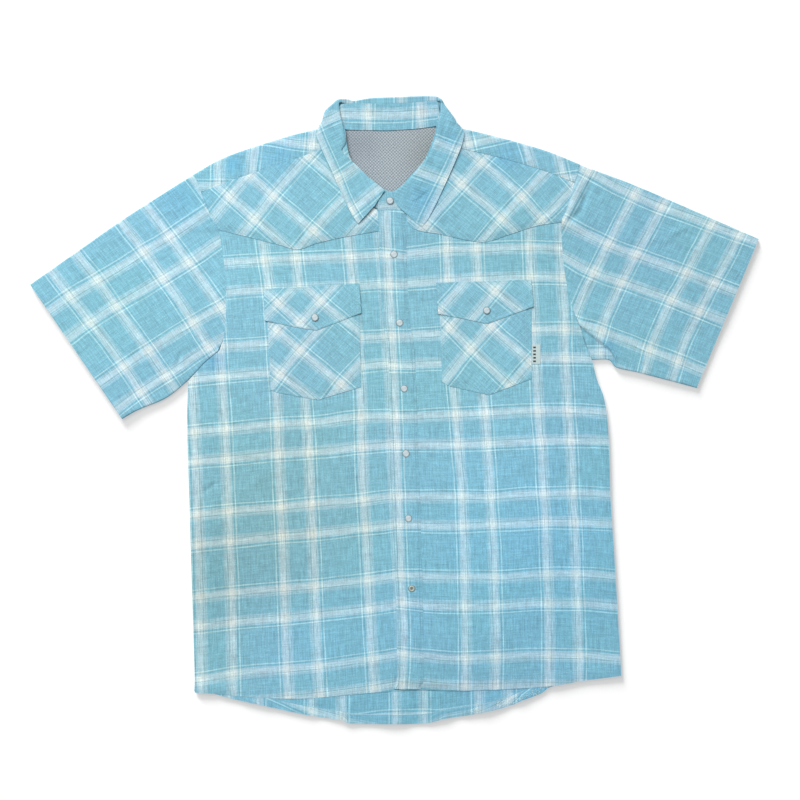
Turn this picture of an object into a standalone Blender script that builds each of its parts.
"""A short-sleeved western snap shirt, laid flat on its back with the front up.

Every cloth piece is the surface through the middle of the cloth, thickened to the cloth wall.
Plan sizes are in millimetres: +X is the wearer's left, +Y runs to the collar, and z = 0 is
what the shirt lies on. Each seam is one line that both of its pieces share.
"""

import math
from collections import namedtuple

import bmesh
import bpy
import numpy as np

MM = 0.001
CLOTH = 1.2  # wall of every cloth piece
GAP = 0.3  # clearance between pieces that touch
LAYER = CLOTH + GAP  # rise from one cloth to the next one lying on it
FLOOR_CLOTH = CLOTH / 2  # middle of a cloth that lies on the floor
SEAM = GAP / 2  # each piece stops this far short of the seam line

BODY_HALF = 285.0  # half the width over which the fronts are lofted
BODY_LOFT = 2.6  # how far the fronts stand proud of the back at the middle
LINING_RISE = (194.0, 260.0)  # the fronts climb on to the lining between these heights
YOKE_LAP = 8.0  # how far the front runs up under its yoke
SLEEVE_LOFT = 2.4  # how far the middle of a sleeve's top stands above its folds
FOLD_HEIGHT = 3.0  # height of a sleeve's side folds, from cloth middle to cloth middle
PLACKET_WIDTH = 35.0
UNDERLAP = 33.0  # how far the right front runs in under the placket
YOKE_UNDERLAP = 10.0  # how far the right front yoke does
YOKE_MIDDLE_HALF = 92.0  # half the width of the back yoke between its two shoulders
LINING_SIDE = 9.0  # how far the lining stays inside the armholes
LINING_TOP = 14.4  # and below the shoulder folds
LINING_NECK = 3.7  # and below the yoke's own neck edge, which runs on under the stand
MOUTH_EASE = 6  # how closely the turned-in ends of a sleeve's mouth keep to its folds
SIDE_FACING = 0.4  # side seams face outwards and this much towards the collar
COLLAR_REACH = 2.0  # how far the collar's cloth takes to turn over at a fold
SNAP_RADIUS = 4.9
SNAP_HEIGHT = 2.2
SNAP_SIDES = 14
SEAM_STEPS = 2  # straight pieces between two knots of a seam

Knot = namedtuple("Knot", "x y")
Finish = namedtuple("Finish", "colour roughness metallic")
StandRow = namedtuple("StandRow", "ux uy lx ly lift z")
FallRow = namedtuple("FallRow", "fx fy ox oy ex ey fold_lift edge_lift turn z")
SnapRow = namedtuple("SnapRow", "name x y lift")
SnapRing = namedtuple("SnapRing", "radius height")  # as shares of the snap's own

FINISHES = {
    "plaid_cotton": Finish((0.30, 0.56, 0.64, 1), 0.9, 0.0),
    "grey_mesh": Finish((0.34, 0.37, 0.41, 1), 0.85, 0.0),
    "woven_tab": Finish((0.66, 0.71, 0.65, 1), 0.8, 0.0),
    "pearl_snap": Finish((0.62, 0.63, 0.62, 1), 0.3, 0.0),
}

# Armhole seams run down from the shoulder fold. The named knots are where other seams end.
STRIP_KNOT, BACK_SEAM_KNOT, YOKE_KNOT = 1, 2, 3
ARMHOLE = {
    "right": [
        Knot(-260.7, 306.0),
        Knot(-251.6, 282.8),
        Knot(-242.5, 259.5),
        Knot(-229.5, 234.0),
        Knot(-223.0, 201.0),
        Knot(-219.0, 162.0),
        Knot(-219.0, 123.0),
        Knot(-221.5, 97.0),
        Knot(-228.2, 76.0),
    ],
    "left": [
        Knot(241.2, 318.0),
        Knot(234.0, 295.0),
        Knot(223.3, 259.5),
        Knot(217.0, 243.5),
        Knot(218.0, 211.0),
        Knot(222.0, 175.0),
        Knot(229.5, 138.5),
        Knot(239.5, 112.0),
        Knot(256.8, 64.5),
    ],
}
# The underside fold of each sleeve, from the armhole to the cuff. On the right side its first
# stretch lies along the body, whose side seam starts at TUCK_KNOT.
TUCK_KNOT = {"right": 2, "left": 0}
SLEEVE_UNDER = {
    "right": [
        Knot(-228.2, 76.0),
        Knot(-247.0, 60.5),
        Knot(-268.5, 38.0),
        Knot(-297.0, 15.0),
        Knot(-333.5, -0.7),
        Knot(-354.3, -12.4),
    ],
    "left": [
        Knot(257.2, 64.5),
        Knot(278.5, 64.5),
        Knot(289.0, 54.5),
        Knot(315.0, 48.5),
        Knot(350.0, 39.5),
        Knot(393.3, 28.0),
    ],
}
SLEEVE_TOP = {
    "right": [Knot(-260.7, 306.0), Knot(-346.5, 251.6), Knot(-410.0, 207.5), Knot(-473.9, 162.5)],
    "left": [Knot(241.2, 318.0), Knot(308.8, 293.2), Knot(399.8, 254.2), Knot(473.9, 222.0)],
}
SIDE_SEAM = {
    "right": [
        Knot(-268.5, 38.0),
        Knot(-269.8, -27.0),
        Knot(-267.0, -118.0),
        Knot(-264.0, -220.0),
        Knot(-258.4, -368.5),
    ],
    "left": [
        Knot(256.8, 64.5),
        Knot(263.5, 38.0),
        Knot(272.5, 14.0),
        Knot(278.0, -30.0),
        Knot(281.0, -118.0),
        Knot(287.0, -210.0),
        Knot(295.0, -346.5),
    ],
}
FRONT_HEM = {
    "right": [
        Knot(-258.4, -368.5),
        Knot(-183.0, -375.0),
        Knot(-119.6, -377.0),
        Knot(-50.0, -372.0),
        Knot(36.0, -365.0),
    ],
    "left": [
        Knot(295.0, -346.5),
        Knot(246.4, -353.0),
        Knot(198.3, -360.8),
        Knot(100.0, -366.0),
        Knot(3.3, -363.7),
    ],
}
BACK_HEM = [
    Knot(-258.4, -368.5),
    Knot(-214.0, -376.0),
    Knot(-159.0, -388.0),
    Knot(-100.0, -400.0),
    Knot(-50.0, -408.3),
    Knot(30.0, -408.3),
    Knot(107.0, -395.6),
    Knot(190.5, -370.4),
    Knot(295.0, -346.5),
]
PLACKET_EDGE = [  # the free edge of the placket, from the neck to the hem
    Knot(-21.5, 258.0),
    Knot(-20.5, 233.0),
    Knot(-16.3, 127.0),
    Knot(-8.5, 71.0),
    Knot(-5.0, -27.0),
    Knot(0.7, -196.0),
    Knot(3.3, -363.7),
]
YOKE_LOWER = {  # from the armhole to the placket's free edge, with the western point between
    "right": [
        Knot(-229.5, 234.0),
        Knot(-188.0, 223.6),
        Knot(-148.0, 213.5),
        Knot(-126.0, 208.0),
        Knot(-101.0, 216.0),
        Knot(-68.0, 223.6),
        Knot(-20.5, 232.0),
    ],
    "left": [
        Knot(217.0, 243.5),
        Knot(184.6, 238.6),
        Knot(150.0, 227.6),
        Knot(118.0, 217.8),
        Knot(90.0, 221.0),
        Knot(60.5, 227.6),
        Knot(13.5, 234.7),
    ],
}
SHOULDER_FOLD = {  # from the armhole to the collar
    "right": [Knot(-260.7, 306.0), Knot(-219.0, 328.5), Knot(-146.0, 353.0), Knot(-99.0, 365.0)],
    "left": [Knot(241.2, 318.0), Knot(199.6, 334.8), Knot(145.0, 351.0), Knot(86.0, 365.5)],
}
STRIP_SEAM = {  # where the back yoke, brought over the shoulder, meets the front yoke
    "right": [Knot(-251.6, 282.8), Knot(-205.0, 300.0), Knot(-149.0, 318.5), Knot(-94.0, 338.0)],
    "left": [Knot(234.0, 295.0), Knot(190.0, 312.0), Knot(137.0, 327.6), Knot(84.0, 340.0)],
}
NECK_FRONT = {  # the neck seam of each front yoke, from the collar stand's end to the shoulder
    "right": [Knot(-21.0, 258.0), Knot(-52.0, 277.0), Knot(-80.0, 307.0), Knot(-94.0, 338.0)],
    "left": [Knot(13.0, 258.0), Knot(42.0, 279.0), Knot(68.0, 309.0), Knot(84.0, 340.0)],
}
NECK_BACK = [  # the yoke's neck edge, which runs up under the stand
    Knot(-97.0, 362.0),
    Knot(-60.5, 366.0),
    Knot(-6.0, 365.2),
    Knot(55.0, 370.3),
    Knot(84.0, 364.0),
]
LINING_FOOT = [Knot(-232.0, 264.0), Knot(216.0, 264.0)]
LEFT_FRONT_TOP = [Knot(14.0, 231.0), Knot(-20.4, 230.0)]  # its top edge beside and under the placket
UNDERARM_DIP = Knot(247.7, 103.4)  # on the fold above which the left sleeve keeps its loft
UNDERARM_DIP_END = 300.0  # X at which that fold has died away
POCKET = {  # left and right are as seen: outer edge, western point and inner edge
    "right": {
        "low": [Knot(-161.0, 26.0), Knot(-152.0, 22.0), Knot(-99.5, 12.4), Knot(-43.6, 29.3)],
        "high": [Knot(-166.0, 148.0), Knot(-46.0, 155.0)],
    },
    "left": {
        "low": [Knot(62.0, 36.0), Knot(70.0, 31.0), Knot(122.5, 18.9), Knot(178.0, 40.0)],
        "high": [Knot(57.5, 156.0), Knot(178.0, 160.0)],
    },
}
FLAP = {
    "right": {
        "low": [Knot(-168.5, 115.5), Knot(-136.0, 108.6), Knot(-102.0, 102.7), Knot(-43.0, 125.5)],
        "high": [Knot(-169.7, 156.7), Knot(-46.2, 163.8)],
    },
    "left": {
        "low": [Knot(56.6, 124.2), Knot(87.8, 118.2), Knot(120.6, 111.4), Knot(180.6, 133.8)],
        "high": [Knot(54.0, 164.5), Knot(177.5, 169.0)],
    },
}
TAB_CORNERS = (Knot(178.7, 59.2), Knot(189.4, 84.5))
# The collar stand from its hidden right end, round the back of the neck, to its left end.
# u is the upper edge, l the neck seam. lift is above the fronts' own height, unless z is given.
STAND = [
    StandRow(6, 281, 4, 260, 3.0, None),
    StandRow(-12, 285, -21, 260, 3.0, None),
    StandRow(-29, 298, -50, 277, 3.0, None),
    StandRow(-45, 312, -66, 292, 3.0, None),
    StandRow(-57, 326, -79, 307, 3.0, None),
    StandRow(-62, 345, -89, 325, 3.0, None),
    StandRow(-64, 362, -91, 345, 3.0, None),
    StandRow(-66, 377, -84, 359, None, 6.0),
    StandRow(-67, 388, -74, 366, None, 4.6),
    StandRow(-65, 394, -66, 366, None, 3.0),
    StandRow(-59, 394.5, -60, 364, None, 2.1),
    StandRow(-30, 394.6, -30, 363.2, None, 2.1),
    StandRow(0, 394.8, -5, 363, None, 2.1),
    StandRow(28, 396.2, 28, 365.2, None, 2.1),
    StandRow(50, 398.6, 53, 368.4, None, 2.1),
    StandRow(56, 397, 60, 369.6, None, 3.0),
    StandRow(57, 386, 66, 367, None, 4.6),
    StandRow(55, 372, 73, 354, None, 6.0),
    StandRow(52, 357, 77, 338, 3.0, None),
    StandRow(46, 340, 73, 321, 3.0, None),
    StandRow(37, 322, 59, 300, 3.0, None),
    StandRow(20, 303, 41, 280, 3.2, None),
    StandRow(6, 287, 14, 260, 4.5, None),
    StandRow(-8, 282, -8, 260, 4.6, None),
    StandRow(-20, 278, -22, 261, 4.6, None),
]
# The collar fall from the right tip, under the back of the neck, to the left tip: f is the fold
# line, o where it turns, e the outer edge. turn is 1 where it is folded under at o.
FALL = [
    FallRow(-12.4, 284.1, -26, 260, -49.4, 240.5, 6.3, 3.4, 0, None),
    FallRow(-21, 291.5, -39, 272, -53.5, 249, 5.6, 3.3, 0, None),
    FallRow(-31, 299, -46, 281, -60, 262, 4.8, 3.2, 0, None),
    FallRow(-45, 313, -58, 299, -71, 286, 4.8, 3.7, 0, None),
    FallRow(-58, 325, -71, 316, -83.5, 313, 4.8, 4.3, 0, None),
    FallRow(-64, 338, -80, 337, -94.3, 337, 4.8, 4.3, 0, None),
    FallRow(-64, 350, -82, 352, -100.5, 354, 4.9, 4.3, 0, None),
    FallRow(-65, 362, -84, 366, -100, 364, None, None, 0.15, 8.4),
    FallRow(-67, 374, -94.5, 377, -96, 369.5, None, None, 0.7, 8.4),
    FallRow(-69, 384, -88, 387, -86, 369.5, None, None, 1, 7.6),
    FallRow(-70.5, 394, -79, 397, -77, 369.5, None, None, 1, 6.0),
    FallRow(-70, 399.5, -72.5, 403, -69, 369, None, None, 1, 4.6),
    FallRow(-61, 397, -60, 405, -60, 368, None, None, 1, 3.2),
    FallRow(-30, 396.8, -30, 406, -30, 367, None, None, 1, 3.0),
    FallRow(0, 397, 0, 407.2, 0, 366.8, None, None, 1, 3.0),
    FallRow(28, 398.4, 28, 408.3, 28, 369, None, None, 1, 3.0),
    FallRow(50, 400.8, 52, 408.3, 53, 371.8, None, None, 1, 3.2),
    FallRow(59, 401, 61.5, 403.5, 62, 372.5, None, None, 1, 4.6),
    FallRow(60, 394, 67, 395.5, 70, 371.5, None, None, 1, 6.0),
    FallRow(59, 384, 76, 384.5, 78, 370.5, None, None, 1, 7.6),
    FallRow(57.5, 374, 83, 375, 87, 372, None, None, 0.7, 8.4),
    FallRow(55.3, 363, 74, 364, 91, 360, None, None, 0.15, 8.4),
    FallRow(52.5, 351, 70, 348, 88.5, 347, 4.9, 4.3, 0, None),
    FallRow(48, 338, 64, 330, 81, 327, 4.8, 4.3, 0, None),
    FallRow(41, 325, 56, 313, 71.5, 305, 4.8, 4.3, 0, None),
    FallRow(31, 313, 46, 297, 61, 282, 5.0, 3.9, 0, None),
    FallRow(20, 301, 36, 281, 51, 261, 5.4, 4.0, 0, None),
    FallRow(9, 290, 24, 267, 43, 245, 6.2, 4.6, 0, None),
    FallRow(2, 281, 14, 257, 37.1, 235.3, 6.6, 4.9, 0, None),
]
SNAPS = [
    SnapRow("snap_stand", -5.9, 271.0, 4.6),
    SnapRow("snap_front_1", -0.7, 201.5, 3.0),
    SnapRow("snap_front_2", 6.6, 112.7, 3.0),
    SnapRow("snap_front_3", 12.4, 27.3, 3.0),
    SnapRow("snap_front_4", 14.8, -57.0, 3.0),
    SnapRow("snap_front_5", 18.1, -141.3, 3.0),
    SnapRow("snap_front_6", 22.4, -232.4, 3.0),
    SnapRow("snap_pocket_right", -103.4, 119.6, 3.0),
    SnapRow("snap_pocket_left", 119.6, 128.8, 3.0),
]
SNAP_PROFILE = [SnapRing(1.0, 0.0), SnapRing(1.0, 0.55), SnapRing(0.9, 0.85), SnapRing(0.55, 1.0)]


def clear_scene():
    for obj in list(bpy.data.objects):
        bpy.data.objects.remove(obj, do_unlink=True)


def ease(value, start, end):
    """0 before start and 1 after end, with a soft change between them."""
    t = min(max((value - start) / (end - start), 0.0), 1.0)
    return t * t * (3 - 2 * t)


def smooth(knots, steps=SEAM_STEPS):
    """A Catmull-Rom curve through the knots, as straight pieces, steps between each two."""
    p = np.array(knots, float)
    p = np.vstack([2 * p[0] - p[1], p, 2 * p[-1] - p[-2]])
    points = []
    for a, b, c, d in zip(p, p[1:], p[2:], p[3:]):
        for t in np.arange(steps) / steps:
            cubic = (3 * b - a - 3 * c + d) * t**3 + (2 * a - 5 * b + 4 * c - d) * t**2
            points.append((cubic + (c - a) * t + 2 * b) / 2)
    return np.array(points + [p[-2]])


def resample(line, count):
    """The line again, as count straight pieces of equal length."""
    steps = np.linalg.norm(np.diff(line, axis=0), axis=1)
    length = np.concatenate([[0], np.cumsum(steps)])
    at = np.linspace(0, length[-1], count + 1)
    return np.column_stack([np.interp(at, length, line[:, k]) for k in range(line.shape[1])])


def outward(line, away):
    """Unit normals of the line in plan, on the side that away points to."""
    tangent = np.gradient(line, axis=0)
    normal = np.column_stack([tangent[:, 1], -tangent[:, 0]])
    normal /= np.linalg.norm(normal, axis=1)[:, None]
    facing = np.sign(normal @ np.array(away, float))
    return normal * np.where(facing == 0, 1, facing)[:, None]


def coons(low, high, start, end):
    """Rows of plan points inside four edges: low and high run across, start and end run up."""
    u = np.linspace(0, 1, len(low))[None, :, None]
    v = np.linspace(0, 1, len(start))[:, None, None]
    across = (1 - v) * low[None] + v * high[None]
    up = (1 - u) * start[:, None] + u * end[:, None]
    corners = (1 - v) * ((1 - u) * low[0] + u * low[-1]) + v * ((1 - u) * high[0] + u * high[-1])
    return across + up - corners


def finish_of(name):
    material = bpy.data.materials.get(name)
    if material:
        return material
    material = bpy.data.materials.new(name)
    material.use_nodes = True
    shader = material.node_tree.nodes["Principled BSDF"]
    look = FINISHES[name]
    shader.inputs["Base Color"].default_value = look.colour
    shader.inputs["Roughness"].default_value = look.roughness
    shader.inputs["Metallic"].default_value = look.metallic
    return material


def new_object(name, mesh, material, collection):
    obj = bpy.data.objects.new(name, mesh)
    mesh.materials.append(finish_of(material))
    collection.objects.link(obj)
    return obj


def cloth(name, grids, material, collection, closed=False):
    """One cloth piece from one or more grids of mid points, which join where they meet."""
    bm = bmesh.new()
    for grid in grids:
        rows, columns = grid.shape[:2]
        verts = [[bm.verts.new(p * MM) for p in row] for row in grid]
        for i in range(rows - 1):
            for j in range(columns if closed else columns - 1):
                k = (j + 1) % columns
                bm.faces.new((verts[i][j], verts[i][k], verts[i + 1][k], verts[i + 1][j]))
    bmesh.ops.remove_doubles(bm, verts=bm.verts, dist=0.00001)
    bmesh.ops.recalc_face_normals(bm, faces=bm.faces)
    mesh = bpy.data.meshes.new(name)
    bm.to_mesh(mesh)
    bm.free()
    obj = new_object(name, mesh, material, collection)
    wall = obj.modifiers.new("cloth wall", "SOLIDIFY")
    wall.thickness = CLOTH * MM
    wall.offset = 0
    wall.use_quality_normals = True
    return obj


def front_height(x, y):
    """Middle of the first cloth that lies on the back, with the soft loft of the body."""
    across = 1 - min(abs(x - 10) / BODY_HALF, 1.0) ** 4
    along = ease(y, -378, -300) * (1 - ease(y, 230, 330))
    return FLOOR_CLOTH + LAYER + LAYER * ease(y, *LINING_RISE) + BODY_LOFT * across * along


def placket_x(y):
    """X of the placket's free edge at this height."""
    line = smooth(PLACKET_EDGE)[::-1]
    return float(np.interp(y, line[:, 1], line[:, 0]))


def overlap_rise(x, y):
    """The left front rides up by one layer where it crosses the right front."""
    right_line = placket_x(y) + PLACKET_WIDTH
    return LAYER * (1 - ease(x, right_line + 8, right_line + 62))


def left_height(x, y):
    return front_height(x, y) + overlap_rise(x, y)


LIES_ON = {"right": front_height, "left": left_height}


def raised(plan, height):
    """The plan grid with a height for each of its points."""
    z = np.array([[height(x, y) for x, y in row] for row in plan])
    return np.concatenate([plan, z[:, :, None]], axis=2)


def wrap(edge, out, low, high):
    """Mid points of a fold whose outer face reaches edge, from its lower cloth to its upper one."""
    radius = (high - low) / 2
    centre = edge - out * (radius + CLOTH / 2)
    angles = np.radians([-90, -40, 0, 40, 90])
    return [
        np.append(centre + out * radius * math.cos(a), (low + high) / 2 + radius * math.sin(a))
        for a in angles
    ]


def inset(line, away, distance=SEAM):
    return line - outward(line, away) * distance


def armhole(side, first=0, last=None):
    """The armhole seam between two of its knots."""
    line = smooth(ARMHOLE[side])
    stop = None if last is None else last * SEAM_STEPS + 1
    return line[first * SEAM_STEPS : stop]


def tuck(side):
    """The stretch of the sleeve's under fold that lies along the body."""
    return smooth(SLEEVE_UNDER[side])[: TUCK_KNOT[side] * SEAM_STEPS + 1]


def body_edge(side, first_knot):
    """A body panel's outer edge, from the hem up to a knot of the armhole."""
    seam = smooth(SIDE_SEAM[side])[::-1]
    under = tuck(side)[::-1]
    arm = armhole(side, first_knot)[::-1]
    out = (-1 if side == "right" else 1, SIDE_FACING)
    edge = np.vstack([seam, under[1:], arm[1:]])
    return inset(edge, out)


def build_back(collection):
    start = body_edge("right", BACK_SEAM_KNOT)
    end = body_edge("left", BACK_SEAM_KNOT)
    start[-1][1] = end[-1][1] = ARMHOLE["right"][BACK_SEAM_KNOT].y - GAP
    low = resample(smooth(BACK_HEM), 8)
    low[0], low[-1] = start[0], end[0]
    high = np.linspace(start[-1], end[-1], 9)
    plan = coons(low, high, start, end)
    cloth("back", [raised(plan, lambda x, y: FLOOR_CLOTH)], "plaid_cotton", collection)


def yoke_half(side):
    """Half of the back yoke: under the shoulder, round its fold, and on to the front."""
    columns = 8
    sign = -1 if side == "right" else 1
    fold = resample(smooth(SHOULDER_FOLD[side]), columns)
    out = outward(fold, (0, 1))
    strip = resample(smooth(STRIP_SEAM[side]), columns)
    strip = inset(strip, (0, -1))
    fold[0][0] -= sign * GAP
    strip[0][0] -= sign * GAP
    arm = inset(armhole(side, 0, BACK_SEAM_KNOT)[::-1], (sign, 0))
    high = FLOOR_CLOTH + 3 * LAYER
    folds = [wrap(e, o, FLOOR_CLOTH, high) for e, o in zip(fold, out)]
    under_top = np.array([f[0][:2] for f in folds])
    under_low = np.linspace(arm[0], (sign * YOKE_MIDDLE_HALF, arm[0][1]), columns + 1)
    neck = np.linspace(under_low[-1], under_top[-1], len(arm))
    shift = under_top[0] - arm[-1]
    start = arm + np.linspace(0, 1, len(arm))[:, None] * shift
    under = coons(under_low, under_top, start, neck)
    under = raised(under, lambda x, y: FLOOR_CLOTH)
    turned = np.array([[f[k] for f in folds] for k in range(1, 5)])
    drop = np.array([f[4][:2] for f in folds])
    over = np.array([drop + t * (strip - drop) for t in (0.5, 1.0)])
    over = raised(over, lambda x, y: front_height(x, y) + LAYER)
    return np.concatenate([under, turned, over])


def build_back_yoke(collection):
    right = yoke_half("right")
    left = yoke_half("left")
    rows = len(armhole("right", 0, BACK_SEAM_KNOT))
    edge_r = right[:rows, -1]
    edge_l = left[:rows, -1]
    neck = resample(smooth(NECK_BACK), 8)
    neck[0], neck[-1] = edge_r[-1][:2], edge_l[-1][:2]
    low = np.linspace(edge_r[0][:2], edge_l[0][:2], len(neck))
    middle = coons(low, neck, edge_r[:, :2], edge_l[:, :2])
    middle = raised(middle, lambda x, y: FLOOR_CLOTH)
    cloth("back_yoke", [right, middle, left], "plaid_cotton", collection)


def build_lining(collection):
    """The mesh lining on the back yoke, which shows in the neck."""
    shoulders = {side: np.array(SHOULDER_FOLD[side][:-1]) - [0, LINING_TOP] for side in LIES_ON}
    shoulders["right"][0][0] += LINING_SIDE
    shoulders["left"][0][0] -= LINING_SIDE
    neck = np.array(NECK_BACK[1:-1]) - [0, LINING_NECK]
    high = resample(np.vstack([shoulders["right"], neck, shoulders["left"][::-1]]), 14)
    low = np.linspace(*LINING_FOOT, len(high))
    start = np.linspace(low[0], high[0], 4)
    end = np.linspace(low[-1], high[-1], 4)
    plan = coons(low, high, start, end)
    lies = FLOOR_CLOTH + LAYER
    cloth("yoke_lining", [raised(plan, lambda x, y: lies)], "grey_mesh", collection)


def build_fronts(collection):
    for side in ("right", "left"):
        outer = body_edge(side, YOKE_KNOT)
        centre = smooth(PLACKET_EDGE)[::-1]
        if side == "right":
            centre = centre + np.array([UNDERLAP, 0])
        lapped = smooth(YOKE_LOWER[side]) + np.array([0, YOKE_LAP])
        if side == "left":
            lapped = np.vstack([lapped[:-1], LEFT_FRONT_TOP])
        top = lapped[-1][1]
        centre = centre[centre[:, 1] < top - 2]
        centre = resample(np.vstack([centre, [(centre[-1][0], top)]]), len(outer) - 1)
        high = resample(lapped, 10)
        high[0] = outer[-1]
        high[-1] = centre[-1]
        low = resample(smooth(FRONT_HEM[side]), 10)
        low[0], low[-1] = outer[0], centre[0]
        plan = coons(low, high, outer, centre)
        cloth("front_" + side, [raised(plan, LIES_ON[side])], "plaid_cotton", collection)


def build_front_yokes(collection):
    for side in ("right", "left"):
        sign = -1 if side == "right" else 1
        outer = inset(armhole(side, STRIP_KNOT, YOKE_KNOT)[::-1], (sign, 0))
        high = inset(resample(smooth(STRIP_SEAM[side]), 8), (0, 1))
        low = smooth(YOKE_LOWER[side])
        neck = resample(smooth(NECK_FRONT[side]), 4)
        bottom = low[-1].copy()
        if side == "right":
            bottom[0] = placket_x(bottom[1]) + YOKE_UNDERLAP
            low = np.vstack([low, [bottom]])
        else:
            bottom[0] = placket_x(bottom[1]) + PLACKET_WIDTH + GAP
            low = np.vstack([low[:-1], [bottom]])
        low = resample(low, 8)
        inner = np.vstack([[bottom], [(bottom[0], neck[0][1] - GAP)], neck])
        inner = resample(inner, len(outer) - 1)
        high[0], high[-1] = outer[-1], inner[-1]
        low[0] = outer[0]
        plan = coons(low, high, outer, inner)
        grid = raised(plan, lambda x, y, lies=LIES_ON[side]: lies(x, y) + LAYER)
        cloth("front_yoke_" + side, [grid], "plaid_cotton", collection)


def placket_height(x, y):
    return front_height(x, y) + 2 * LAYER


def build_placket(collection):
    edge = resample(smooth(PLACKET_EDGE), 26)
    edge[0][1] -= 0.5
    plan = np.array([edge + np.array([t * PLACKET_WIDTH, 0]) for t in (0.0, 0.5, 1.0)])
    cloth("placket", [raised(plan, placket_height)], "plaid_cotton", collection)


def sleeve_height(side, x, y, u, v):
    """Middle of the sleeve's upper cloth: u across from the shoulder fold, v from the armhole."""
    at_seam = front_height(x, y) + LAYER * ease(y, 228, 240)
    at_fold = FLOOR_CLOTH + FOLD_HEIGHT
    loft = at_fold + SLEEVE_LOFT * math.sin(math.pi * u) ** 0.8 * (1 - 0.35 * v)
    height = at_seam + (loft - at_seam) * ease(v, 0.0, 0.3)
    height = max(height, at_fold)
    if side == "left":
        # The cloth drops into the underarm below a fold that runs down from the armhole.
        below = (UNDERARM_DIP.x - x + UNDERARM_DIP.y - y) * math.sqrt(0.5)
        dips = ease(below, -4, 9) * (x < UNDERARM_DIP_END)
        height += (FLOOR_CLOTH + 1.25 * LAYER - height) * dips
    return height


def build_sleeves(collection):
    for side in ("right", "left"):
        sign = -1 if side == "right" else 1
        mouth = armhole(side)
        under = smooth(SLEEVE_UNDER[side])
        top = resample(smooth(SLEEVE_TOP[side]), len(under) - 1)
        cuff = np.linspace(top[-1], under[-1], len(mouth))
        top_out = outward(top, (0, 1))
        under_out = outward(under, (sign * 0.35, -1))
        mouth = inset(mouth, (-sign, 0))
        cut_in = FOLD_HEIGHT / 2 + CLOTH / 2
        start = top - top_out * cut_in
        end = under - under_out * cut_in
        start[0] = mouth[0] + (start[0] - top[0])
        end[0] = mouth[-1] + (end[0] - under[0])
        near_end = np.linspace(0, 1, len(mouth))[:, None] ** MOUTH_EASE
        mouth = mouth + near_end[::-1] * (start[0] - mouth[0]) + near_end * (end[0] - mouth[-1])
        cuff = np.linspace(start[-1], end[-1], len(mouth))
        plan = coons(mouth, cuff, start, end)
        rings = []
        for j, row in enumerate(plan):
            v = j / (len(plan) - 1)
            upper = [
                np.array([x, y, sleeve_height(side, x, y, k / (len(row) - 1), v)])
                for k, (x, y) in enumerate(row)
            ]
            lower = [np.array([x, y, FLOOR_CLOTH]) for x, y in row[::2]]
            ring = lower[::-1]
            ring += turn_points(lower[0], upper[0], top_out[j])
            ring += upper
            ring += turn_points(lower[-1], upper[-1], under_out[j])[::-1]
            rings.append(ring)
        cloth("sleeve_" + side, [np.array(rings)], "plaid_cotton", collection, closed=True)


def turn_points(low, high, out):
    """The points that carry a cloth round its fold, from its lower point to its upper one."""
    reach = FOLD_HEIGHT / 2
    middle = (low + high) / 2
    half = (high - low) / 2
    turn = []
    for angle in np.radians([-40, 0, 40]):
        plan = middle[:2] + half[:2] * math.sin(angle) + out * reach * math.cos(angle)
        turn.append(np.append(plan, middle[2] + half[2] * math.sin(angle)))
    return turn


def build_stand(collection):
    rows = []
    for row in STAND:
        ends = []
        for x, y in ((row.lx, row.ly), (row.ux, row.uy)):
            z = row.z if row.z is not None else front_height(x, y) + row.lift
            ends.append(np.array([x, y, z]))
        rows.append([ends[0], (ends[0] + ends[1]) / 2, ends[1]])
    cloth("collar_stand", [np.array(rows)], "plaid_cotton", collection)


def build_fall(collection):
    """The fall and its two leaves: a strip that is folded under all round the back."""
    rows = []
    for row in FALL:
        fold = np.array([row.fx, row.fy])
        turn = np.array([row.ox, row.oy])
        edge = np.array([row.ex, row.ey])
        if row.z is None:
            top = front_height(*fold) + row.fold_lift
            turn_top = front_height(*turn) + row.fold_lift
            edge_z = front_height(*edge) + row.edge_lift
        else:
            top = turn_top = row.z
            edge_z = row.z + (FLOOR_CLOTH - row.z) * row.turn
        half = (turn_top - edge_z) / 2 * row.turn
        out = (turn - fold) / np.linalg.norm(turn - fold)
        back = (edge - turn) / np.linalg.norm(edge - turn)
        reach = COLLAR_REACH
        rows.append(
            [
                np.append(fold, top - 0.5),
                np.append(fold + out * reach, top),
                np.append((fold + turn) / 2, (top + turn_top) / 2),
                np.append(turn - out * reach, turn_top),
                np.append(turn + out * (min(half, reach) - reach * row.turn), turn_top - half),
                np.append(turn + back * reach, turn_top - 2 * half),
                np.append(turn + (edge - turn) * 0.6, turn_top - 2 * half),
                np.append(edge, edge_z),
            ]
        )
    cloth("collar_fall", [np.array(rows)], "plaid_cotton", collection)


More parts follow.
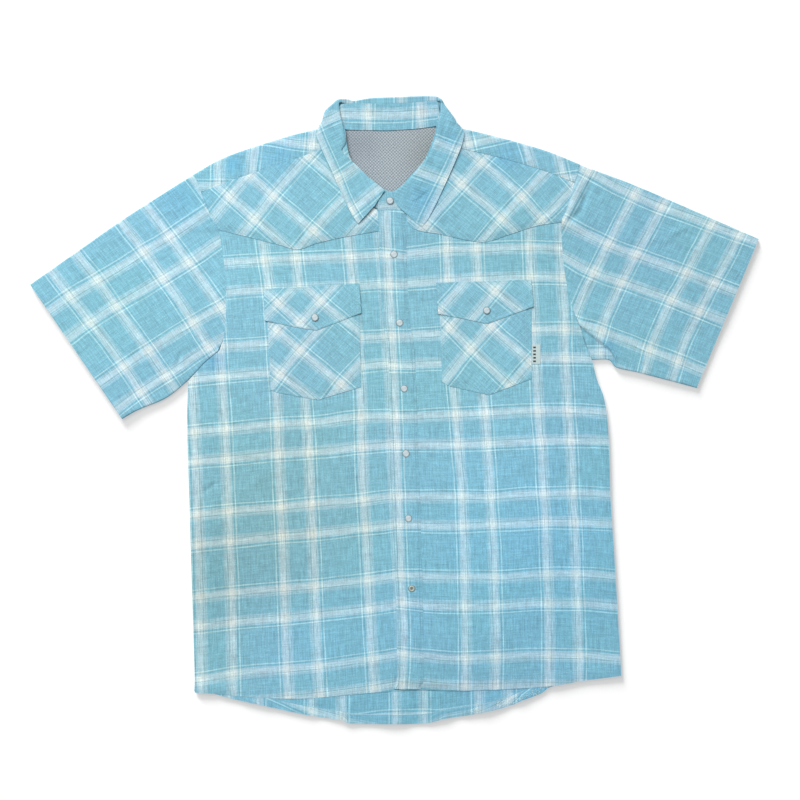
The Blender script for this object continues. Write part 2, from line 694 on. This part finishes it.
def build_pockets(collection):
    for side in ("right", "left"):
        for name, shape, layer in (("pocket_", POCKET[side], 1), ("flap_", FLAP[side], 2)):
            low = resample(np.array(shape["low"], float), 10)
            high = np.linspace(shape["high"][0], shape["high"][-1], 11)
            rows = 9 if layer == 1 else 4
            start = np.linspace(low[0], high[0], rows)
            end = np.linspace(low[-1], high[-1], rows)
            plan = coons(low, high, start, end)
            lies = LIES_ON[side]
            grid = raised(plan, lambda x, y: lies(x, y) + layer * LAYER)
            cloth(name + side, [grid], "plaid_cotton", collection)


def build_tab(collection):
    low, high = TAB_CORNERS
    xs = np.linspace(low.x, high.x, 2)
    ys = np.linspace(low.y, high.y, 3)
    plan = np.array([[(x, y) for x in xs] for y in ys])
    grid = raised(plan, lambda x, y: left_height(x, y) + LAYER)
    cloth("tab", [grid], "woven_tab", collection)


def snap_mesh():
    """One snap: a turned cap with a rolled rim and a shallow dome."""
    bm = bmesh.new()
    rings = []
    for share in SNAP_PROFILE:
        radius = SNAP_RADIUS * share.radius
        height = SNAP_HEIGHT * share.height
        ring = []
        for angle in np.arange(SNAP_SIDES) * 2 * math.pi / SNAP_SIDES:
            point = np.array([radius * math.cos(angle), radius * math.sin(angle), height])
            ring.append(bm.verts.new(point * MM))
        rings.append(ring)
    for a, b in zip(rings, rings[1:]):
        for k in range(SNAP_SIDES):
            n = (k + 1) % SNAP_SIDES
            bm.faces.new((a[k], a[n], b[n], b[k]))
    bm.faces.new(rings[-1])
    bm.faces.new(rings[0][::-1])
    mesh = bpy.data.meshes.new("snap")
    bm.to_mesh(mesh)
    bm.free()
    mesh.shade_smooth()
    mesh.set_sharp_from_angle(angle=math.radians(40))
    return mesh


def build_snaps(collection):
    mesh = snap_mesh()
    mesh.materials.append(finish_of("pearl_snap"))
    for row in SNAPS:
        under = front_height(row.x, row.y) + row.lift
        obj = bpy.data.objects.new(row.name, mesh)
        obj.location = (row.x * MM, row.y * MM, (under + CLOTH / 2 + GAP) * MM)
        collection.objects.link(obj)


def main():
    clear_scene()
    collection = bpy.data.collections.new("snap_shirt")
    bpy.context.scene.collection.children.link(collection)
    build_back(collection)
    build_back_yoke(collection)
    build_lining(collection)
    build_fronts(collection)
    build_front_yokes(collection)
    build_placket(collection)
    build_sleeves(collection)
    build_stand(collection)
    build_fall(collection)
    build_pockets(collection)
    build_tab(collection)
    build_snaps(collection)


main()
